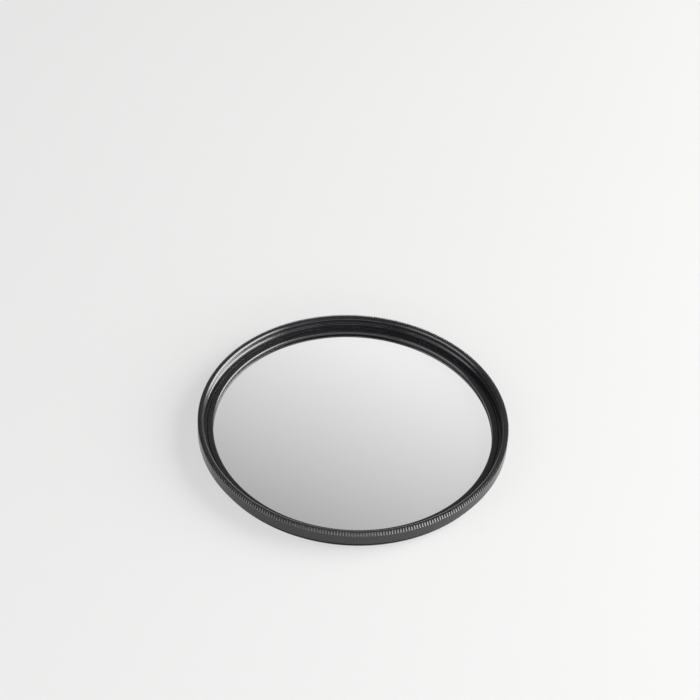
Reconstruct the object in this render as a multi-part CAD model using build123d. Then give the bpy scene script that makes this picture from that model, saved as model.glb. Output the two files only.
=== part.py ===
from build123d import *
import math
import os

# Screw-in lens filter. Millimetres. The optical axis is Z, the rear face is at z = 0 and the front is up.

# Threads: the same size at the front and the rear, so that filters stack
thread_diameter = 77.0
thread_pitch = 0.75
thread_lead_in = 0.4  # chamfer at the mouth of the front thread and the end of the rear thread

# Stack along the axis, from the rear face up
lip_thickness = 0.65
glass_thickness = 1.6
ring_height = 0.85
front_thread_depth = 2.6  # bore left free above the ring and the step that surrounds it
rear_thread_length = 2.0  # up to the shoulder

# Radial walls
rim_wall = 1.05  # rim outside the full thread diameter
seat_wall = 0.8  # metal between the rear thread's root and the bore that takes the glass and the ring
lip_width = 1.68  # ledge that carries the glass
ring_width = 1.63

# Clearances, all on the radius
glass_clearance = 0.08
ring_clearance = 0.05

# Edges
shoulder_chamfer = 0.2
lip_chamfer = 0.25  # upper edge of the lip, seen through the glass
ring_chamfer = 0.25
ring_outer_chamfer = 0.15
glass_chamfer = 0.2

# Grip band: V notches round the upper edge, deepest at the top, that run out to a point on the plain rim
knurl_height = 0.95
knurl_pitch = 0.714
knurl_land = 0.1  # rim left between two notches at the top
knurl_depth = 0.5

# Thread radii of the ISO metric profile
thread_radius = thread_diameter / 2
front_bore_radius = thread_radius - 0.5413 * thread_pitch
thread_root_radius = thread_radius - 0.6134 * thread_pitch

# Radii that follow from them
rim_radius = thread_radius + rim_wall
seat_radius = thread_root_radius - seat_wall
lip_radius = seat_radius - lip_width
glass_radius = seat_radius - glass_clearance
knurl_root_radius = rim_radius - knurl_depth
ring_outer_radius = seat_radius - ring_clearance
ring_inner_radius = ring_outer_radius - ring_width

# Heights that follow from the stack
glass_bottom = lip_thickness
glass_top = glass_bottom + glass_thickness
ring_top = glass_top + ring_height
rim_top = ring_top + front_thread_depth

AXIAL_PLANE = Plane.XZ
CUT_OVERLAP = 0.05  # how far a knurl pyramid reaches past the metal


def turned(section):
    """Revolve a closed section of (radius, height) points about the optical axis."""
    outline = AXIAL_PLANE * make_face(Polyline(*section, close=True))
    return revolve(outline, Axis.Z)


def frame_blank():
    """The frame before knurling: threads are plain cylinders on their outer and inner diameters."""
    return turned([
        (lip_radius, 0),
        (thread_radius - thread_lead_in, 0),
        (thread_radius, thread_lead_in),
        (thread_radius, rear_thread_length),
        (rim_radius - shoulder_chamfer, rear_thread_length),
        (rim_radius, rear_thread_length + shoulder_chamfer),
        (rim_radius, rim_top),
        (front_bore_radius + thread_lead_in, rim_top),
        (front_bore_radius, rim_top - thread_lead_in),
        (front_bore_radius, ring_top),
        (seat_radius, ring_top),
        (seat_radius, glass_bottom),
        (lip_radius + lip_chamfer, glass_bottom),
        (lip_radius, glass_bottom - lip_chamfer),
    ])


def knurl_cutters():
    """One pyramid for each notch: two flanks meet in a root line that slopes out to the rim's surface."""
    groove_count = round(2 * math.pi * rim_radius / knurl_pitch)
    slope = knurl_depth / knurl_height
    top = rim_top + CUT_OVERLAP
    back_radius = rim_radius + CUT_OVERLAP
    root_radius = knurl_root_radius - CUT_OVERLAP * slope
    tip_height = rim_top - knurl_height - CUT_OVERLAP / slope
    half_mouth = (knurl_pitch - knurl_land) / 2 * (back_radius - root_radius) / knurl_depth
    root = (root_radius, 0, top)
    left = (back_radius, half_mouth, top)
    right = (back_radius, -half_mouth, top)
    tip = (back_radius, 0, tip_height)
    sides = ((root, left, right), (root, tip, left), (root, right, tip), (left, tip, right))
    notch = Solid(Shell([Face(Wire.make_polygon(side)) for side in sides]))
    return [Rot(0, 0, 360 / groove_count * groove) * notch for groove in range(groove_count)]


def filter_frame():
    return frame_blank() - knurl_cutters()


def filter_glass():
    disc = Pos(0, 0, glass_bottom) * extrude(Circle(glass_radius), glass_thickness)
    return chamfer(disc.edges().filter_by(GeomType.CIRCLE), glass_chamfer)


def retaining_ring():
    return turned([
        (ring_inner_radius, glass_top),
        (ring_outer_radius - ring_outer_chamfer, glass_top),
        (ring_outer_radius, glass_top + ring_outer_chamfer),
        (ring_outer_radius, ring_top - ring_outer_chamfer),
        (ring_outer_radius - ring_outer_chamfer, ring_top),
        (ring_inner_radius + ring_chamfer, ring_top),
        (ring_inner_radius, ring_top - ring_chamfer),
    ])


os.makedirs("parts", exist_ok=True)
for name, solid in (
    ("filter_frame", filter_frame()),
    ("filter_glass", filter_glass()),
    ("retaining_ring", retaining_ring()),
):
    export_step(solid, f"parts/{name}.step")
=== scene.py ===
import math

import bmesh
import bpy
import numpy as np
from mathutils import Matrix, Quaternion, Vector


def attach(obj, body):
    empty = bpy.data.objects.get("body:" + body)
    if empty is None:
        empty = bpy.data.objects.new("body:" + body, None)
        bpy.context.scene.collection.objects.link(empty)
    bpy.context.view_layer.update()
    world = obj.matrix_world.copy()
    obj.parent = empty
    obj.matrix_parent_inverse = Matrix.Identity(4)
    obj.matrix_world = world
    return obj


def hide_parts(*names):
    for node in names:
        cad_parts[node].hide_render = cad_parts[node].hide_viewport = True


# Screw-in lens filter: detailed frame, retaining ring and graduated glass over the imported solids.
# Sizes are in millimetres, as in the solids: optical axis Z, rear face at z = 0, front side up.

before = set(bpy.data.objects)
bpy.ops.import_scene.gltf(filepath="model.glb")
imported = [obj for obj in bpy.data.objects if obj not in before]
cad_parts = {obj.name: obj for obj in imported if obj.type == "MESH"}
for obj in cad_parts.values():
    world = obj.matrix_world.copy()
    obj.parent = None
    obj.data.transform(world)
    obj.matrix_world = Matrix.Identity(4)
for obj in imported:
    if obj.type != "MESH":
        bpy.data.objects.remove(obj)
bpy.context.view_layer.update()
MM = 0.001

# Threads
THREAD_PITCH = 0.75
THREAD_RADIUS = 38.5
FRONT_BORE_RADIUS = 38.094
REAR_ROOT_RADIUS = 38.05
FRONT_THREAD_LOW = 3.95
RELIEF_RADIUS = 38.47  # groove that the front thread runs out into
RELIEF_LOW = 3.74
RELIEF_FOOT = 3.46
FRONT_THREAD_HIGH = 5.25
REAR_THREAD_LOW = 0.4
REAR_THREAD_HIGH = 1.75
THREAD_FADE = 0.2  # height over which a thread starts and runs out
CREST_SHARE = 0.25  # flat crest, share of the pitch
ROOT_SHARE = 0.125  # flat root, share of the pitch
FRONT_THREAD_START = 0.1  # height of a crest's lower edge at azimuth zero, above the thread's low end
REAR_THREAD_START = 0.3

# Frame
RIM_RADIUS = 39.55
RIM_TOP = 5.7
RIM_INNER_RADIUS = 38.494
CROWN_OUTER_RADIUS = 38.9
CROWN_EASE = 0.24  # rounding between the crown and the mouth of the front thread
SHOULDER_HEIGHT = 2.0
SHOULDER_CHAMFER = 0.2
REAR_FACE_RADIUS = 38.1
LIP_RADIUS = 35.56
LIP_TOP = 0.64  # a hair below the glass, so that no two faces lie in one plane
LIP_CHAMFER = 0.25
SEAT_RADIUS = 37.24
STEP_HEIGHT = 3.1

# Knurl
NOTCH_COUNT = 348
NOTCH_DEPTH = 0.5  # at the crown; the root line slopes out to the rim's surface
NOTCH_HEIGHT = 0.85
NOTCH_FLOOR = 0.13  # half width of the hollow floor
NOTCH_HOLLOW = 0.5  # radius of that hollow
NOTCH_FLANK = 3.14  # rise of a flank for its width
TOOTH_EDGE = 0.02  # width of the eased edge between a flank and a tooth
TOOTH_TOP = ((39.45, 5.70), (39.50, 5.68), (39.54, 5.64))  # a tooth's rounded top: radius, height
TOOTH_HEIGHTS = (5.58, 5.42, 5.25, 5.05, 4.93, 4.875)  # rows below it, where a tooth has the rim's radius
KNURL_FOOT = 4.7

# Points round a plain ring
FRAME_COLUMNS = 480
RING_COLUMNS = 512

# Retaining ring
RING_INNER_RADIUS = 35.56
RING_OUTER_RADIUS = 37.19
RING_BOTTOM = 2.26  # a hair above the glass
RING_TOP = 3.1
RING_CHAMFER = 0.25
RING_OUTER_CHAMFER = 0.15

# Glass
GLASS_RADIUS = 37.16
GLASS_BOTTOM = 0.65
GLASS_TOP = 2.25
GLASS_CHAMFER = 0.2
GLASS_IOR = 1.52
GLASS_MIDDLE = 0.715  # light let through at the middle
GLASS_ACROSS = 0.12  # more of it towards +X, at the edge
GLASS_UPWARDS = 0.245  # more of it towards +Y, at the edge

# Floor: share of even white in what is seen of it; the rest is lit and shaded
FLOOR_GLOW = 0.55
FLOOR_GLOW_THROUGH_GLASS = 0.86

# Rounding of edges: how far it reaches back from each corner
SHOULDER_OUTER_EASE = 0.08
SHOULDER_UNDER_EASE = 0.06
NECK_EASE = 0.04
REAR_FACE_EASE = 0.05
LIP_REAR_EASE = 0.12
LIP_EASE = 0.06
STEP_EASE = 0.04
RELIEF_FOOT_EASE = 0.04
RELIEF_EASE = 0.05
MOUTH_EASE = 0.04
RING_BORE_EASE = 0.04
RING_OUTER_EASE = 0.03
RING_CHAMFER_EASE = 0.08
CORNER_STEPS = 6
SHARP_ANGLE = math.radians(35)
MERGE_DISTANCE = 2e-7

# Black finish
ANODISED_IOR = 1.55
FRAME_TONES = ((0.007, 0.007, 0.008), (0.011, 0.011, 0.012))
FRAME_ROUGHNESS = (0.18, 0.26)
RING_TONES = ((0.005, 0.005, 0.006), (0.009, 0.009, 0.01))
RING_ROUGHNESS = (0.2, 0.3)
CLOUD_FREQUENCY = 260.0
CLOUD_RANGE = (0.3, 0.7)
LINE_FREQUENCY = 14000.0
LINE_WANDER = 1.0  # change of the turned lines round the axis, for each radian
LINE_HEIGHT = 0.0000004

# Studio, in metres
FLOOR_HALF_SIDE = 4.0
FLOOR_TONES = ((0.35, 0.35, 0.348), (0.38, 0.38, 0.378))
FLOOR_GRAIN = 40.0
FLOOR_WHITE = (1.0, 1.0, 0.998)
WARM_WHITE = (1.0, 0.99, 0.97)
COOL_WHITE = (0.97, 0.98, 1.0)
FAR_WHITE = (0.98, 0.99, 1.0)
HORIZON = (0.05, 0.9)  # height on the sky's unit ball, light from there
OVERHEAD = (0.35, 0.12)

# Camera: where the photograph was taken from
FOCAL_PIXELS = 2340.0
IMAGE_SIZE = 700
SENSOR_WIDTH = 36.0
VIEW_ELEVATION = math.radians(44.69)
VIEW_ROLL = math.radians(3.52)
VIEW_DISTANCE = 595.3
RIM_CENTRE_PIXEL = (353.44, 419.06)
CLIP_NEAR = 0.01
CLIP_FAR = 20.0


# Mesh building

class RingMesh:
    """Rings of points round the optical axis, and the faces between them."""

    def __init__(self):
        self.points = []
        self.faces = []

    def ring(self, radii, heights, angles):
        first = len(self.points)
        x = radii * np.cos(angles)
        y = radii * np.sin(angles)
        z = heights * np.ones_like(angles)
        self.points.extend(np.stack([x, y, z], 1).tolist())
        return np.arange(first, first + len(angles))

    def bridge(self, lower, upper):
        quads = np.stack([lower, np.roll(lower, -1), np.roll(upper, -1), upper], 1)
        self.faces.extend(quads.tolist())

    def zip(self, first, first_angles, second, second_angles):
        """Join two rings of different counts that start at the same azimuth."""
        around = 2 * math.pi
        first_ends = np.append(first_angles[1:], first_angles[0] + around)
        second_ends = np.append(second_angles[1:], second_angles[0] + around)
        i = 0
        j = 0
        while i < len(first) or j < len(second):
            here = first[i % len(first)]
            there = second[j % len(second)]
            if j == len(second) or (i < len(first) and first_ends[i] <= second_ends[j]):
                i += 1
                self.faces.append((here, first[i % len(first)], there))
            else:
                j += 1
                self.faces.append((here, second[j % len(second)], there))

    def path(self, points, angles, closed=False):
        """A surface of revolution along (radius, height) points; returns its first and last ring."""
        rings = [self.ring(r, z, angles) for r, z in points]
        for lower, upper in zip(rings, rings[1:]):
            self.bridge(lower, upper)
        if closed:
            self.bridge(rings[-1], rings[0])
        return rings[0], rings[-1]

    def cap(self, ring, height):
        """Close a ring with triangles to a point on the axis."""
        middle = len(self.points)
        self.points.append([0.0, 0.0, height])
        for a, b in zip(ring, np.roll(ring, -1)):
            self.faces.append((a, b, middle))

    def thread(self, low, high, start, surface, angles):
        """A helical surface: its rows follow the edges of crest and root, so that these stay crisp."""
        flank = (1 - CREST_SHARE - ROOT_SHARE) / 2
        edges = (0.0, CREST_SHARE, CREST_SHARE + flank, CREST_SHARE + flank + ROOT_SHARE)
        turns = math.ceil((high - low) / THREAD_PITCH) + 1
        climb = THREAD_PITCH * angles / (2 * math.pi)
        rows = []
        for turn in range(-2, turns):
            for edge in edges:
                free = low + start + THREAD_PITCH * (turn + edge) + climb
                heights = np.clip(free, low, high)
                phase = ((heights - low - start - climb) / THREAD_PITCH) % 1.0
                rows.append(self.ring(surface(heights, phase), heights, angles))
        step = len(edges)
        for k in range(len(rows) - 1):
            quads = np.stack([rows[k][:-1], rows[k][1:], rows[k + 1][1:], rows[k + 1][:-1]], 1)
            self.faces.extend(quads.tolist())
            after = min(k + step, len(rows) - 2)
            self.faces.append((rows[k][-1], rows[after][0], rows[after + 1][0], rows[k + 1][-1]))

    def piece(self, name, material, node):
        """The finished object in place of a node."""
        mesh = bpy.data.meshes.new(name)
        mesh.from_pydata([(x * MM, y * MM, z * MM) for x, y, z in self.points], [], self.faces)
        work = bmesh.new()
        work.from_mesh(mesh)
        bmesh.ops.remove_doubles(work, verts=work.verts, dist=MERGE_DISTANCE)
        bmesh.ops.recalc_face_normals(work, faces=work.faces)
        work.to_mesh(mesh)
        work.free()
        mesh.shade_smooth()
        mesh.set_sharp_from_angle(angle=SHARP_ANGLE)
        mesh.materials.append(material)
        made = bpy.data.objects.new(name, mesh)
        bpy.context.scene.collection.objects.link(made)
        weighted = made.modifiers.new("weighted_normals", "WEIGHTED_NORMAL")
        weighted.keep_sharp = True
        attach(made, "root")
        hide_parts(node)
        return made


def rounded(corners, closed=False):
    """Points along a section whose corners (radius, height, setback) are eased by their setback."""
    count = len(corners)
    out = []
    for i, (r, z, setback) in enumerate(corners):
        here = Vector((r, z))
        if setback == 0 or (not closed and i in (0, count - 1)):
            out.append((r, z))
            continue
        before = Vector(corners[i - 1][:2])
        after = Vector(corners[(i + 1) % count][:2])
        start = here + (before - here).normalized() * setback
        end = here + (after - here).normalized() * setback
        for k in range(CORNER_STEPS + 1):
            t = k / CORNER_STEPS
            point = start * (1 - t) ** 2 + here * 2 * t * (1 - t) + end * t ** 2
            out.append((point.x, point.y))
    return out


def ease(values, start, end):
    """From 0 at start to 1 at end."""
    t = np.clip((values - start) / (end - start), 0.0, 1.0)
    return t * t * (3 - 2 * t)


def groove_share(phase):
    """Depth of a thread groove by its place in the pitch: 0 on the crest, 1 at the root."""
    flank = (1 - CREST_SHARE - ROOT_SHARE) / 2
    down = (phase - CREST_SHARE) / flank
    up = (1 - phase) / flank
    return np.clip(np.minimum(down, up), 0.0, 1.0)


def front_thread_surface(heights, phase):
    fade = ease(heights, FRONT_THREAD_HIGH, FRONT_THREAD_HIGH - THREAD_FADE)
    cut = FRONT_BORE_RADIUS + (THREAD_RADIUS - FRONT_BORE_RADIUS) * fade * groove_share(phase)
    run_out = ease(heights, FRONT_THREAD_LOW + THREAD_FADE / 2, FRONT_THREAD_LOW)
    return cut + (RELIEF_RADIUS - cut) * run_out


def rear_thread_surface(heights, phase):
    fade = ease(heights, REAR_THREAD_LOW, REAR_THREAD_LOW + THREAD_FADE)
    depth = THREAD_RADIUS - REAR_ROOT_RADIUS
    cut = THREAD_RADIUS - depth * fade * groove_share(phase)
    run_out = ease(heights, REAR_THREAD_HIGH - THREAD_FADE / 2, REAR_THREAD_HIGH)
    return cut + (REAR_ROOT_RADIUS - cut) * run_out


# Materials

def new_material(name):
    material = bpy.data.materials.new(name)
    material.use_nodes = True
    material.node_tree.nodes.clear()
    return material, material.node_tree.nodes, material.node_tree.links


def turned_coordinates(nodes, links, across, along):
    """Coordinates that run round the axis, so that a noise becomes the fine lines of a turned surface."""
    place = nodes.new("ShaderNodeTexCoord")
    split = nodes.new("ShaderNodeSeparateXYZ")
    links.new(place.outputs["Object"], split.inputs[0])
    flat = nodes.new("ShaderNodeCombineXYZ")
    links.new(split.outputs["X"], flat.inputs["X"])
    links.new(split.outputs["Y"], flat.inputs["Y"])
    radius = nodes.new("ShaderNodeVectorMath")
    radius.operation = "LENGTH"
    links.new(flat.outputs[0], radius.inputs[0])
    turn = nodes.new("ShaderNodeMath")
    turn.operation = "ARCTAN2"
    links.new(split.outputs["Y"], turn.inputs[0])
    links.new(split.outputs["X"], turn.inputs[1])
    joined = nodes.new("ShaderNodeCombineXYZ")
    links.new(radius.outputs["Value"], joined.inputs["X"])
    links.new(split.outputs["Z"], joined.inputs["Y"])
    links.new(turn.outputs[0], joined.inputs["Z"])
    scaled = nodes.new("ShaderNodeVectorMath")
    scaled.operation = "MULTIPLY"
    scaled.inputs[1].default_value = (across, across, along)
    links.new(joined.outputs[0], scaled.inputs[0])
    return scaled.outputs[0]


def anodised(name, tones, roughness):
    """Black anodised aluminium: fine turned lines, slightly uneven sheen."""
    material, nodes, links = new_material(name)
    out = nodes.new("ShaderNodeOutputMaterial")
    shader = nodes.new("ShaderNodeBsdfPrincipled")
    shader.inputs["IOR"].default_value = ANODISED_IOR
    links.new(shader.outputs[0], out.inputs["Surface"])
    lines = nodes.new("ShaderNodeTexNoise")
    lines.inputs["Scale"].default_value = 1.0
    lines.inputs["Detail"].default_value = 1.0
    links.new(turned_coordinates(nodes, links, LINE_FREQUENCY, LINE_WANDER), lines.inputs["Vector"])
    clouds = nodes.new("ShaderNodeTexNoise")
    clouds.inputs["Scale"].default_value = CLOUD_FREQUENCY
    clouds.inputs["Detail"].default_value = 5.0
    place = nodes.new("ShaderNodeTexCoord")
    links.new(place.outputs["Object"], clouds.inputs["Vector"])
    tone = nodes.new("ShaderNodeMix")
    tone.data_type = "RGBA"
    tone.inputs["A"].default_value = (*tones[0], 1.0)
    tone.inputs["B"].default_value = (*tones[1], 1.0)
    links.new(clouds.outputs["Fac"], tone.inputs["Factor"])
    links.new(tone.outputs["Result"], shader.inputs["Base Color"])
    sheen = nodes.new("ShaderNodeMapRange")
    sheen.inputs["From Min"].default_value = CLOUD_RANGE[0]
    sheen.inputs["From Max"].default_value = CLOUD_RANGE[1]
    sheen.inputs["To Min"].default_value = roughness[0]
    sheen.inputs["To Max"].default_value = roughness[1]
    links.new(clouds.outputs["Fac"], sheen.inputs["Value"])
    links.new(sheen.outputs["Result"], shader.inputs["Roughness"])
    bump = nodes.new("ShaderNodeBump")
    bump.inputs["Strength"].default_value = 1.0
    bump.inputs["Distance"].default_value = LINE_HEIGHT
    links.new(lines.outputs["Fac"], bump.inputs["Height"])
    links.new(bump.outputs[0], shader.inputs["Normal"])
    return material


def graduated_glass():
    """Flat glass with a soft neutral grey gradient; rays that don't come from the camera go straight on."""
    material, nodes, links = new_material("graduated_glass")
    out = nodes.new("ShaderNodeOutputMaterial")
    place = nodes.new("ShaderNodeTexCoord")
    slope = nodes.new("ShaderNodeVectorMath")
    slope.operation = "DOT_PRODUCT"
    slope.inputs[1].default_value = (
        GLASS_ACROSS / (GLASS_RADIUS * MM),
        GLASS_UPWARDS / (GLASS_RADIUS * MM),
        0.0,
    )
    links.new(place.outputs["Object"], slope.inputs[0])
    share = nodes.new("ShaderNodeMath")
    share.operation = "ADD"
    share.inputs[1].default_value = GLASS_MIDDLE
    share.use_clamp = True
    links.new(slope.outputs["Value"], share.inputs[0])
    face = nodes.new("ShaderNodeMath")
    face.operation = "SQRT"
    links.new(share.outputs[0], face.inputs[0])
    tint = nodes.new("ShaderNodeCombineColor")
    for channel in ("Red", "Green", "Blue"):
        links.new(face.outputs[0], tint.inputs[channel])
    glass = nodes.new("ShaderNodeBsdfGlass")
    glass.inputs["IOR"].default_value = GLASS_IOR
    glass.inputs["Roughness"].default_value = 0.0
    links.new(tint.outputs[0], glass.inputs["Color"])
    clear = nodes.new("ShaderNodeBsdfTransparent")
    links.new(tint.outputs[0], clear.inputs["Color"])
    rays = nodes.new("ShaderNodeLightPath")
    mixed = nodes.new("ShaderNodeMixShader")
    links.new(rays.outputs["Is Camera Ray"], mixed.inputs[0])
    links.new(clear.outputs[0], mixed.inputs[1])
    links.new(glass.outputs[0], mixed.inputs[2])
    links.new(mixed.outputs[0], out.inputs["Surface"])
    return material


def pale_floor():
    """Matt white floor that keeps the object's shadow and shows near white to the camera."""
    material, nodes, links = new_material("pale_floor")
    out = nodes.new("ShaderNodeOutputMaterial")
    grain = nodes.new("ShaderNodeTexNoise")
    grain.inputs["Scale"].default_value = FLOOR_GRAIN
    tone = nodes.new("ShaderNodeMix")
    tone.data_type = "RGBA"
    tone.inputs["A"].default_value = (*FLOOR_TONES[0], 1.0)
    tone.inputs["B"].default_value = (*FLOOR_TONES[1], 1.0)
    links.new(grain.outputs["Fac"], tone.inputs["Factor"])
    matt = nodes.new("ShaderNodeBsdfDiffuse")
    links.new(tone.outputs["Result"], matt.inputs["Color"])
    glow = nodes.new("ShaderNodeEmission")
    glow.inputs["Color"].default_value = (*FLOOR_WHITE, 1.0)
    glow.inputs["Strength"].default_value = 1.0
    rays = nodes.new("ShaderNodeLightPath")
    seen = nodes.new("ShaderNodeMath")
    seen.operation = "MAXIMUM"
    links.new(rays.outputs["Is Camera Ray"], seen.inputs[0])
    links.new(rays.outputs["Is Glossy Ray"], seen.inputs[1])
    plain = nodes.new("ShaderNodeMath")
    plain.operation = "MULTIPLY"
    plain.inputs[1].default_value = FLOOR_GLOW
    links.new(seen.outputs[0], plain.inputs[0])
    through = nodes.new("ShaderNodeMath")
    through.operation = "MULTIPLY"
    through.inputs[1].default_value = FLOOR_GLOW_THROUGH_GLASS
    links.new(rays.outputs["Is Transmission Ray"], through.inputs[0])
    share = nodes.new("ShaderNodeMath")
    share.operation = "MAXIMUM"
    links.new(plain.outputs[0], share.inputs[0])
    links.new(through.outputs[0], share.inputs[1])
    mixed = nodes.new("ShaderNodeMixShader")
    links.new(share.outputs[0], mixed.inputs[0])
    links.new(matt.outputs[0], mixed.inputs[1])
    links.new(glow.outputs[0], mixed.inputs[2])
    links.new(mixed.outputs[0], out.inputs["Surface"])
    return material


# Pieces

def notch_row(radius, height):
    """Azimuths and radii of one row of the toothed band, where a tooth has the given radius."""
    root = RIM_RADIUS - NOTCH_DEPTH * (1 - (RIM_TOP - height) / NOTCH_HEIGHT)
    depth = max(0.0, radius - root)
    floor = min(NOTCH_FLOOR, math.sqrt(2 * NOTCH_HOLLOW * depth))
    flank = max(0.0, depth - NOTCH_FLOOR ** 2 / (2 * NOTCH_HOLLOW)) / NOTCH_FLANK
    half = floor + flank
    pitch = 2 * math.pi * RIM_RADIUS / NOTCH_COUNT
    edge = min(TOOTH_EDGE, flank, (pitch / 2 - half) / 2)
    side = np.array([floor / 2, floor])
    low = radius - depth + side ** 2 / (2 * NOTCH_HOLLOW)
    lip = radius - edge / 2
    left = [-pitch / 2, -half - edge, -half]
    places = np.concatenate([left, -side[::-1], [0.0], side, [half, half + edge]])
    radii = np.concatenate([[radius, radius, lip], low[::-1], [radius - depth], low, [lip, radius]])
    notches = np.arange(NOTCH_COUNT)[:, None] * pitch
    angles = ((notches + places[None, :]) / RIM_RADIUS).ravel()
    return angles, np.tile(radii, NOTCH_COUNT)


def build_frame(material):
    mesh = RingMesh()
    rows = list(TOOTH_TOP)
    rows += [(RIM_RADIUS, height) for height in TOOTH_HEIGHTS]
    rows.append((RIM_RADIUS, RIM_TOP - NOTCH_HEIGHT))
    rings = []
    for radius, height in rows:
        fine, radii = notch_row(radius, height)
        rings.append((mesh.ring(radii, height, fine), fine))
    for upper, lower in zip(rings, rings[1:]):
        mesh.bridge(lower[0], upper[0])
    angles = rings[0][1][0] + np.linspace(0, 2 * math.pi, FRAME_COLUMNS, endpoint=False)
    outside = rounded([
        (RIM_RADIUS, KNURL_FOOT, 0),
        (RIM_RADIUS, SHOULDER_HEIGHT + SHOULDER_CHAMFER, SHOULDER_OUTER_EASE),
        (RIM_RADIUS - SHOULDER_CHAMFER, SHOULDER_HEIGHT, SHOULDER_UNDER_EASE),
        (REAR_ROOT_RADIUS, SHOULDER_HEIGHT, NECK_EASE),
        (REAR_ROOT_RADIUS, REAR_THREAD_HIGH, 0),
    ])
    upper_edge = mesh.path(outside, angles)[0]
    mesh.zip(upper_edge, angles, *rings[-1])
    mesh.thread(REAR_THREAD_LOW, REAR_THREAD_HIGH, REAR_THREAD_START, rear_thread_surface, angles)
    inside = rounded([
        (THREAD_RADIUS, REAR_THREAD_LOW, 0),
        (REAR_FACE_RADIUS, 0, REAR_FACE_EASE),
        (LIP_RADIUS, 0, LIP_REAR_EASE),
        (LIP_RADIUS, LIP_TOP - LIP_CHAMFER, LIP_EASE),
        (LIP_RADIUS + LIP_CHAMFER, LIP_TOP, LIP_EASE),
        (SEAT_RADIUS, LIP_TOP, 0),
        (SEAT_RADIUS, STEP_HEIGHT, STEP_EASE),
        (FRONT_BORE_RADIUS, STEP_HEIGHT, 0),
        (FRONT_BORE_RADIUS, RELIEF_FOOT, RELIEF_FOOT_EASE),
        (RELIEF_RADIUS, RELIEF_LOW, RELIEF_EASE),
        (RELIEF_RADIUS, FRONT_THREAD_LOW, 0),
    ])
    mesh.path(inside, angles)
    mesh.thread(FRONT_THREAD_LOW, FRONT_THREAD_HIGH, FRONT_THREAD_START, front_thread_surface, angles)
    lead_in = RIM_INNER_RADIUS - FRONT_BORE_RADIUS
    crown = rounded([
        (FRONT_BORE_RADIUS, FRONT_THREAD_HIGH, 0),
        (FRONT_BORE_RADIUS, RIM_TOP - lead_in, MOUTH_EASE),
        (RIM_INNER_RADIUS, RIM_TOP, CROWN_EASE),
        (CROWN_OUTER_RADIUS, RIM_TOP, 0),
    ])
    crown_edge = mesh.path(crown, angles)[1]
    mesh.zip(crown_edge, angles, *rings[0])
    return mesh.piece("filter_frame_detail", material, "filter_frame")


def build_ring(material, angles):
    mesh = RingMesh()
    section = rounded([
        (RING_INNER_RADIUS, RING_BOTTOM, RING_BORE_EASE),
        (RING_OUTER_RADIUS - RING_OUTER_CHAMFER, RING_BOTTOM, RING_OUTER_EASE),
        (RING_OUTER_RADIUS, RING_BOTTOM + RING_OUTER_CHAMFER, RING_OUTER_EASE),
        (RING_OUTER_RADIUS, RING_TOP - RING_OUTER_CHAMFER, RING_OUTER_EASE),
        (RING_OUTER_RADIUS - RING_OUTER_CHAMFER, RING_TOP, RING_OUTER_EASE),
        (RING_INNER_RADIUS + RING_CHAMFER, RING_TOP, RING_CHAMFER_EASE),
        (RING_INNER_RADIUS, RING_TOP - RING_CHAMFER, RING_CHAMFER_EASE),
    ], closed=True)
    mesh.path(section, angles, closed=True)
    return mesh.piece("retaining_ring_detail", material, "retaining_ring")


def build_glass(material, angles):
    mesh = RingMesh()
    section = [
        (GLASS_RADIUS - GLASS_CHAMFER, GLASS_BOTTOM),
        (GLASS_RADIUS, GLASS_BOTTOM + GLASS_CHAMFER),
        (GLASS_RADIUS, GLASS_TOP - GLASS_CHAMFER),
        (GLASS_RADIUS - GLASS_CHAMFER, GLASS_TOP),
    ]
    lowest, highest = mesh.path(section, angles)
    mesh.cap(lowest, GLASS_BOTTOM)
    mesh.cap(highest, GLASS_TOP)
    made = mesh.piece("filter_glass_detail", material, "filter_glass")
    # The lamps light the lip and the floor straight through the glass, which keeps them free of grain
    made.visible_glossy = False
    made.visible_diffuse = False
    made.visible_shadow = False
    return made


# Studio

def direction(azimuth, elevation):
    """Unit vector; azimuth runs from +X towards +Y, both in degrees."""
    a = math.radians(azimuth)
    e = math.radians(elevation)
    return Vector((math.cos(e) * math.cos(a), math.cos(e) * math.sin(a), math.sin(e)))


def soft_box(name, azimuth, elevation, distance, width, height, radiance, colour, tilt=0.0):
    """A rectangular lamp aimed at the origin; angles in degrees, lengths in metres."""
    lamp = bpy.data.lights.new(name, "AREA")
    lamp.shape = "RECTANGLE"
    lamp.size = width
    lamp.size_y = height
    lamp.energy = radiance * width * height * math.pi
    lamp.color = colour
    made = bpy.data.objects.new(name, lamp)
    towards = direction(azimuth, elevation)
    made.location = towards * distance
    turned = towards.to_track_quat("Z", "Y") @ Quaternion((0, 0, 1), math.radians(tilt))
    made.rotation_euler = turned.to_euler()
    bpy.context.scene.collection.objects.link(made)


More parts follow.
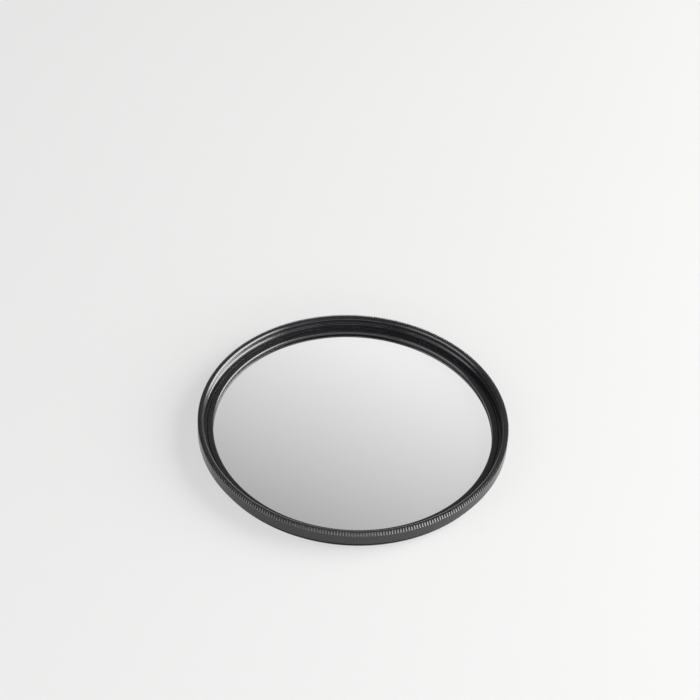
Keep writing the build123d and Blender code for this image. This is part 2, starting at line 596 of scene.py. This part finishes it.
def studio():
    floor_mesh = bpy.data.meshes.new("floor")
    side = FLOOR_HALF_SIDE
    corners = [(-side, -side, 0), (side, -side, 0), (side, side, 0), (-side, side, 0)]
    floor_mesh.from_pydata(corners, [], [(0, 1, 2, 3)])
    floor_mesh.materials.append(pale_floor())
    floor = bpy.data.objects.new("floor", floor_mesh)
    bpy.context.scene.collection.objects.link(floor)
    soft_box("key_box", 10, 29, 0.60, 0.60, 0.48, 12.5, WARM_WHITE)
    soft_box("right_strip", -28, 9, 0.60, 0.84, 0.16, 14.0, COOL_WHITE, -14)
    soft_box("left_fill", 205, 34, 0.90, 0.80, 0.50, 3.6, COOL_WHITE)
    soft_box("far_bounce", 90, 40, 1.00, 1.20, 0.80, 0.2, FAR_WHITE)
    soft_box("near_strip", -90, 18, 0.80, 0.62, 0.20, 8.0, COOL_WHITE)
    soft_box("left_strip", -152, 10, 0.80, 0.84, 0.20, 4.0, COOL_WHITE, 12)
    world = bpy.data.worlds.new("studio")
    world.use_nodes = True
    bpy.context.scene.world = world
    nodes = world.node_tree.nodes
    links = world.node_tree.links
    nodes.clear()
    out = nodes.new("ShaderNodeOutputWorld")
    back = nodes.new("ShaderNodeBackground")
    place = nodes.new("ShaderNodeTexCoord")
    split = nodes.new("ShaderNodeSeparateXYZ")
    links.new(place.outputs["Generated"], split.inputs[0])
    fall = nodes.new("ShaderNodeMapRange")
    fall.interpolation_type = "SMOOTHSTEP"
    fall.inputs["From Min"].default_value = HORIZON[0]
    fall.inputs["From Max"].default_value = OVERHEAD[0]
    fall.inputs["To Min"].default_value = HORIZON[1]
    fall.inputs["To Max"].default_value = OVERHEAD[1]
    links.new(split.outputs["Z"], fall.inputs["Value"])
    links.new(fall.outputs["Result"], back.inputs["Strength"])
    links.new(back.outputs[0], out.inputs["Surface"])


def photo_camera():
    """Camera whose picture has the rim's centre, tilt and size of the photograph."""
    right = Vector((1, 0, 0))
    back = Vector((0, -math.cos(VIEW_ELEVATION), math.sin(VIEW_ELEVATION)))
    up = back.cross(right)
    level = Matrix((right, -up, -back))
    spin = Matrix.Rotation(VIEW_ROLL, 3, "Z")
    half = IMAGE_SIZE / 2
    across = (RIM_CENTRE_PIXEL[0] - half) / FOCAL_PIXELS
    down = (RIM_CENTRE_PIXEL[1] - half) / FOCAL_PIXELS
    aim = Vector((across, down, 1))
    aim.normalize()
    turn = Vector((0, 0, 1)).rotation_difference(aim).to_matrix()
    to_camera = turn @ spin @ level
    place = to_camera.transposed() @ (-aim * VIEW_DISTANCE) + Vector((0, 0, RIM_TOP))
    axes = Matrix((to_camera[0], -to_camera[1], -to_camera[2])).transposed()
    lens = bpy.data.cameras.new("photo_camera")
    lens.sensor_width = SENSOR_WIDTH
    lens.lens = FOCAL_PIXELS * SENSOR_WIDTH / IMAGE_SIZE
    lens.clip_start = CLIP_NEAR
    lens.clip_end = CLIP_FAR
    made = bpy.data.objects.new("photo_camera", lens)
    made.matrix_world = Matrix.Translation(place * MM) @ axes.to_4x4()
    bpy.context.scene.collection.objects.link(made)
    bpy.context.scene.camera = made


frame_black = anodised("frame_black", FRAME_TONES, FRAME_ROUGHNESS)
ring_black = anodised("ring_black", RING_TONES, RING_ROUGHNESS)
plain_angles = np.linspace(0, 2 * math.pi, RING_COLUMNS, endpoint=False)
build_frame(frame_black)
build_ring(ring_black, plain_angles)
build_glass(graduated_glass(), plain_angles)
studio()
photo_camera()
bpy.context.scene.view_settings.view_transform = "Standard"

bpy.context.view_layer.update()
